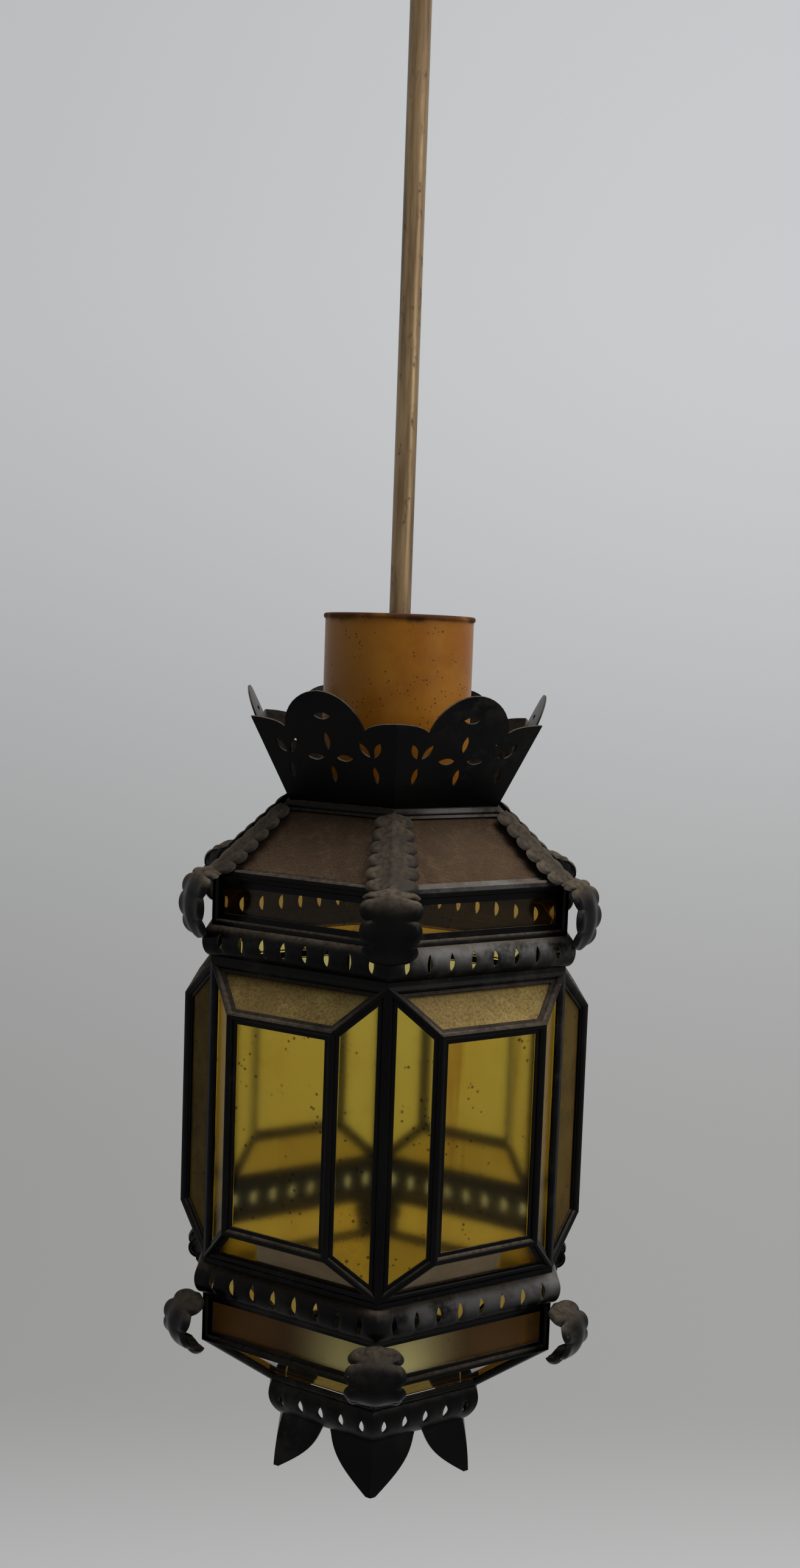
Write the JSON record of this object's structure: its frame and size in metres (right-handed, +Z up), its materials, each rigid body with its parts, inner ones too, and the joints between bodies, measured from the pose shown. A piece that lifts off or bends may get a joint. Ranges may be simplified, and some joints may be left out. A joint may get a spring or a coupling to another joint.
{
  "type": "ceiling lantern",
  "caption": "Hexagonal tin ceiling lantern with amber faceted glass bays, pierced crown and mouldings, curled leaf brackets and a petal skirt, hung on a brass rod with a sliding cylindrical cup",
  "frame": {"origin": "on the rod's axis at the ceiling, on the top face of the ceiling strap", "axes": "+Z up along the rod, a corner of the hexagon faces -Y"},
  "size_m": [0.1916, 0.2148, 0.701],
  "materials": {
    "black_tin": "black painted tin sheet, dusty and slightly worn",
    "amber_glass": "amber window glass with dust and drips",
    "dusty_glass": "roof glass under brown dust",
    "ochre_cup": "glossy ochre paint, rusted at the rim",
    "aged_brass": "aged brass with streaks",
    "plated_steel": "dull plated steel",
    "bakelite": "black moulded plastic",
    "porcelain": "glazed porcelain"
  },
  "bodies": {
    "lantern": {"crown": "black_tin", "roof_frame": "black_tin", "upper_band_frame": "black_tin", "upper_moulding": "black_tin", "body_cage": "black_tin", "lower_moulding": "black_tin", "base_frame": "black_tin", "base_moulding": "black_tin", "petal_skirt": "black_tin", "upper_leaf_1": "black_tin", "upper_leaf_2": "black_tin", "upper_leaf_3": "black_tin", "upper_leaf_4": "black_tin", "upper_leaf_5": "black_tin", "upper_leaf_6": "black_tin", "lower_leaf_1": "black_tin", "lower_leaf_2": "black_tin", "lower_leaf_3": "black_tin", "lower_leaf_4": "black_tin", "lower_leaf_5": "black_tin", "lower_leaf_6": "black_tin", "upper_band_pane_1": "amber_glass", "upper_band_pane_2": "amber_glass", "upper_band_pane_3": "amber_glass", "upper_band_pane_4": "amber_glass", "upper_band_pane_5": "amber_glass", "upper_band_pane_6": "amber_glass", "face_pane_1": "amber_glass", "face_pane_2": "amber_glass", "face_pane_3": "amber_glass", "face_pane_4": "amber_glass", "face_pane_5": "amber_glass", "face_pane_6": "amber_glass", "bevel_panes_1": "amber_glass", "bevel_panes_2": "amber_glass", "bevel_panes_3": "amber_glass", "bevel_panes_4": "amber_glass", "bevel_panes_5": "amber_glass", "bevel_panes_6": "amber_glass", "lower_band_pane_1": "amber_glass", "lower_band_pane_2": "amber_glass", "lower_band_pane_3": "amber_glass", "lower_band_pane_4": "amber_glass", "lower_band_pane_5": "amber_glass", "lower_band_pane_6": "amber_glass", "base_glazing": "amber_glass", "roof_pane_1": "dusty_glass", "roof_pane_2": "dusty_glass", "roof_pane_3": "dusty_glass", "roof_pane_4": "dusty_glass", "roof_pane_5": "dusty_glass", "roof_pane_6": "dusty_glass", "suspension_rod": "aged_brass", "ceiling_strap": "plated_steel", "ceiling_lock_nut": "plated_steel", "rod_nut": "plated_steel", "lampholder_cap": "bakelite", "lampholder_shell": "bakelite", "lampholder_insert": "porcelain"},
    "canopy": {"canopy_cup": "ochre_cup"}
  },
  "joints": [
    {"name": "canopy_slide", "type": "slide", "parent": "lantern", "child": "canopy", "axis": [0, 0, 1], "range_m": [0, 0.2997]}
  ]
}
